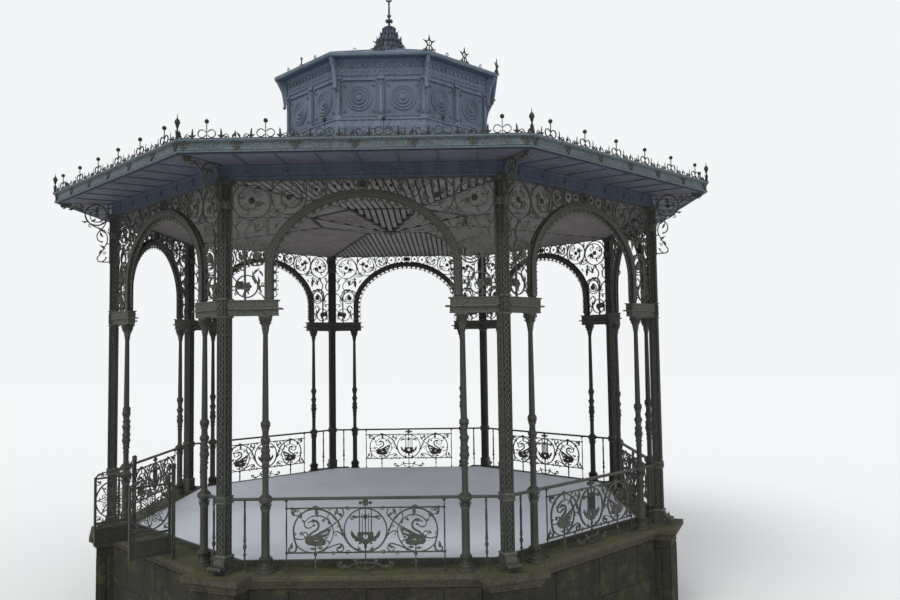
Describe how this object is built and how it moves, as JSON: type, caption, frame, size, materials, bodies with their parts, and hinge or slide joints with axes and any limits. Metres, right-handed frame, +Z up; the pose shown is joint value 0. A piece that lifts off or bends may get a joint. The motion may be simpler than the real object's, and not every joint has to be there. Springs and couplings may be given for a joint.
{
  "type": "bandstand",
  "caption": "Octagonal open bandstand: moulded stone base, cast-iron piers, columns and arches, railings, a pair of gates, wide eaves and a lantern drum with a finial.",
  "frame": {"origin": "on the ground at the middle of the octagon", "axes": "+Z up, -Y out of the front bay, +X to the right as seen from the front"},
  "size_m": [10.6072, 10.6072, 11.3634],
  "materials": {
    "stone": "weathered mossy stone, rough",
    "floor_paving": "pale bluish grey paving, matt",
    "iron": "dark grey-green paint on cast iron, worn",
    "girder_paint": "dark blue-grey paint, satin",
    "boards": "painted narrow boards, faded brownish grey",
    "zinc": "bluish green-grey paint on zinc sheet, weathered"
  },
  "bodies": {
    "stand": {"base_walls": "stone", "base_pedestals": "stone", "pedestal_caps": "stone", "coping": "stone", "floor_slab": "floor_paving", "pier_1": "iron", "pier_2": "iron", "pier_3": "iron", "pier_4": "iron", "pier_5": "iron", "pier_6": "iron", "pier_7": "iron", "pier_8": "iron", "slender_columns": "iron", "arch_front": "iron", "arch_front_right": "iron", "arch_right": "iron", "arch_back_right": "iron", "arch_back": "iron", "arch_back_left": "iron", "arch_left": "iron", "arch_gate": "iron", "spandrels_front": "iron", "spandrels_front_right": "iron", "spandrels_right": "iron", "spandrels_back_right": "iron", "spandrels_back": "iron", "spandrels_back_left": "iron", "spandrels_left": "iron", "spandrels_gate": "iron", "railing_front": "iron", "railing_front_right": "iron", "railing_right": "iron", "railing_back_right": "iron", "railing_back": "iron", "railing_back_left": "iron", "railing_left": "iron", "railing_gate_ends": "iron", "gate_posts": "iron", "girders": "girder_paint", "corner_brackets": "iron", "soffit": "boards", "fascia": "zinc", "eave_cresting": "iron", "ceiling": "boards", "ceiling_centre": "boards", "ceiling_ribs": "iron", "ceiling_boss": "iron", "roof": "zinc", "drum_base": "zinc", "drum_wall": "zinc", "drum_frieze": "zinc", "drum_eave_ring": "zinc", "drum_cresting": "iron", "drum_roof": "zinc", "finial": "iron"},
    "near_leaf": {"gate_leaf_near": "iron"},
    "far_leaf": {"gate_leaf_far": "iron"}
  },
  "joints": [
    {"name": "gate_near_hinge", "type": "hinge", "parent": "stand", "child": "near_leaf", "pos_m": [-2.79634, -3.65901, 1.625], "axis": [0, 0, 1], "range_deg": [-90, 0]},
    {"name": "gate_far_hinge", "type": "hinge", "parent": "stand", "child": "far_leaf", "pos_m": [-3.65901, -2.79634, 1.625], "axis": [0, 0, 1], "range_deg": [0, 90]}
  ]
}
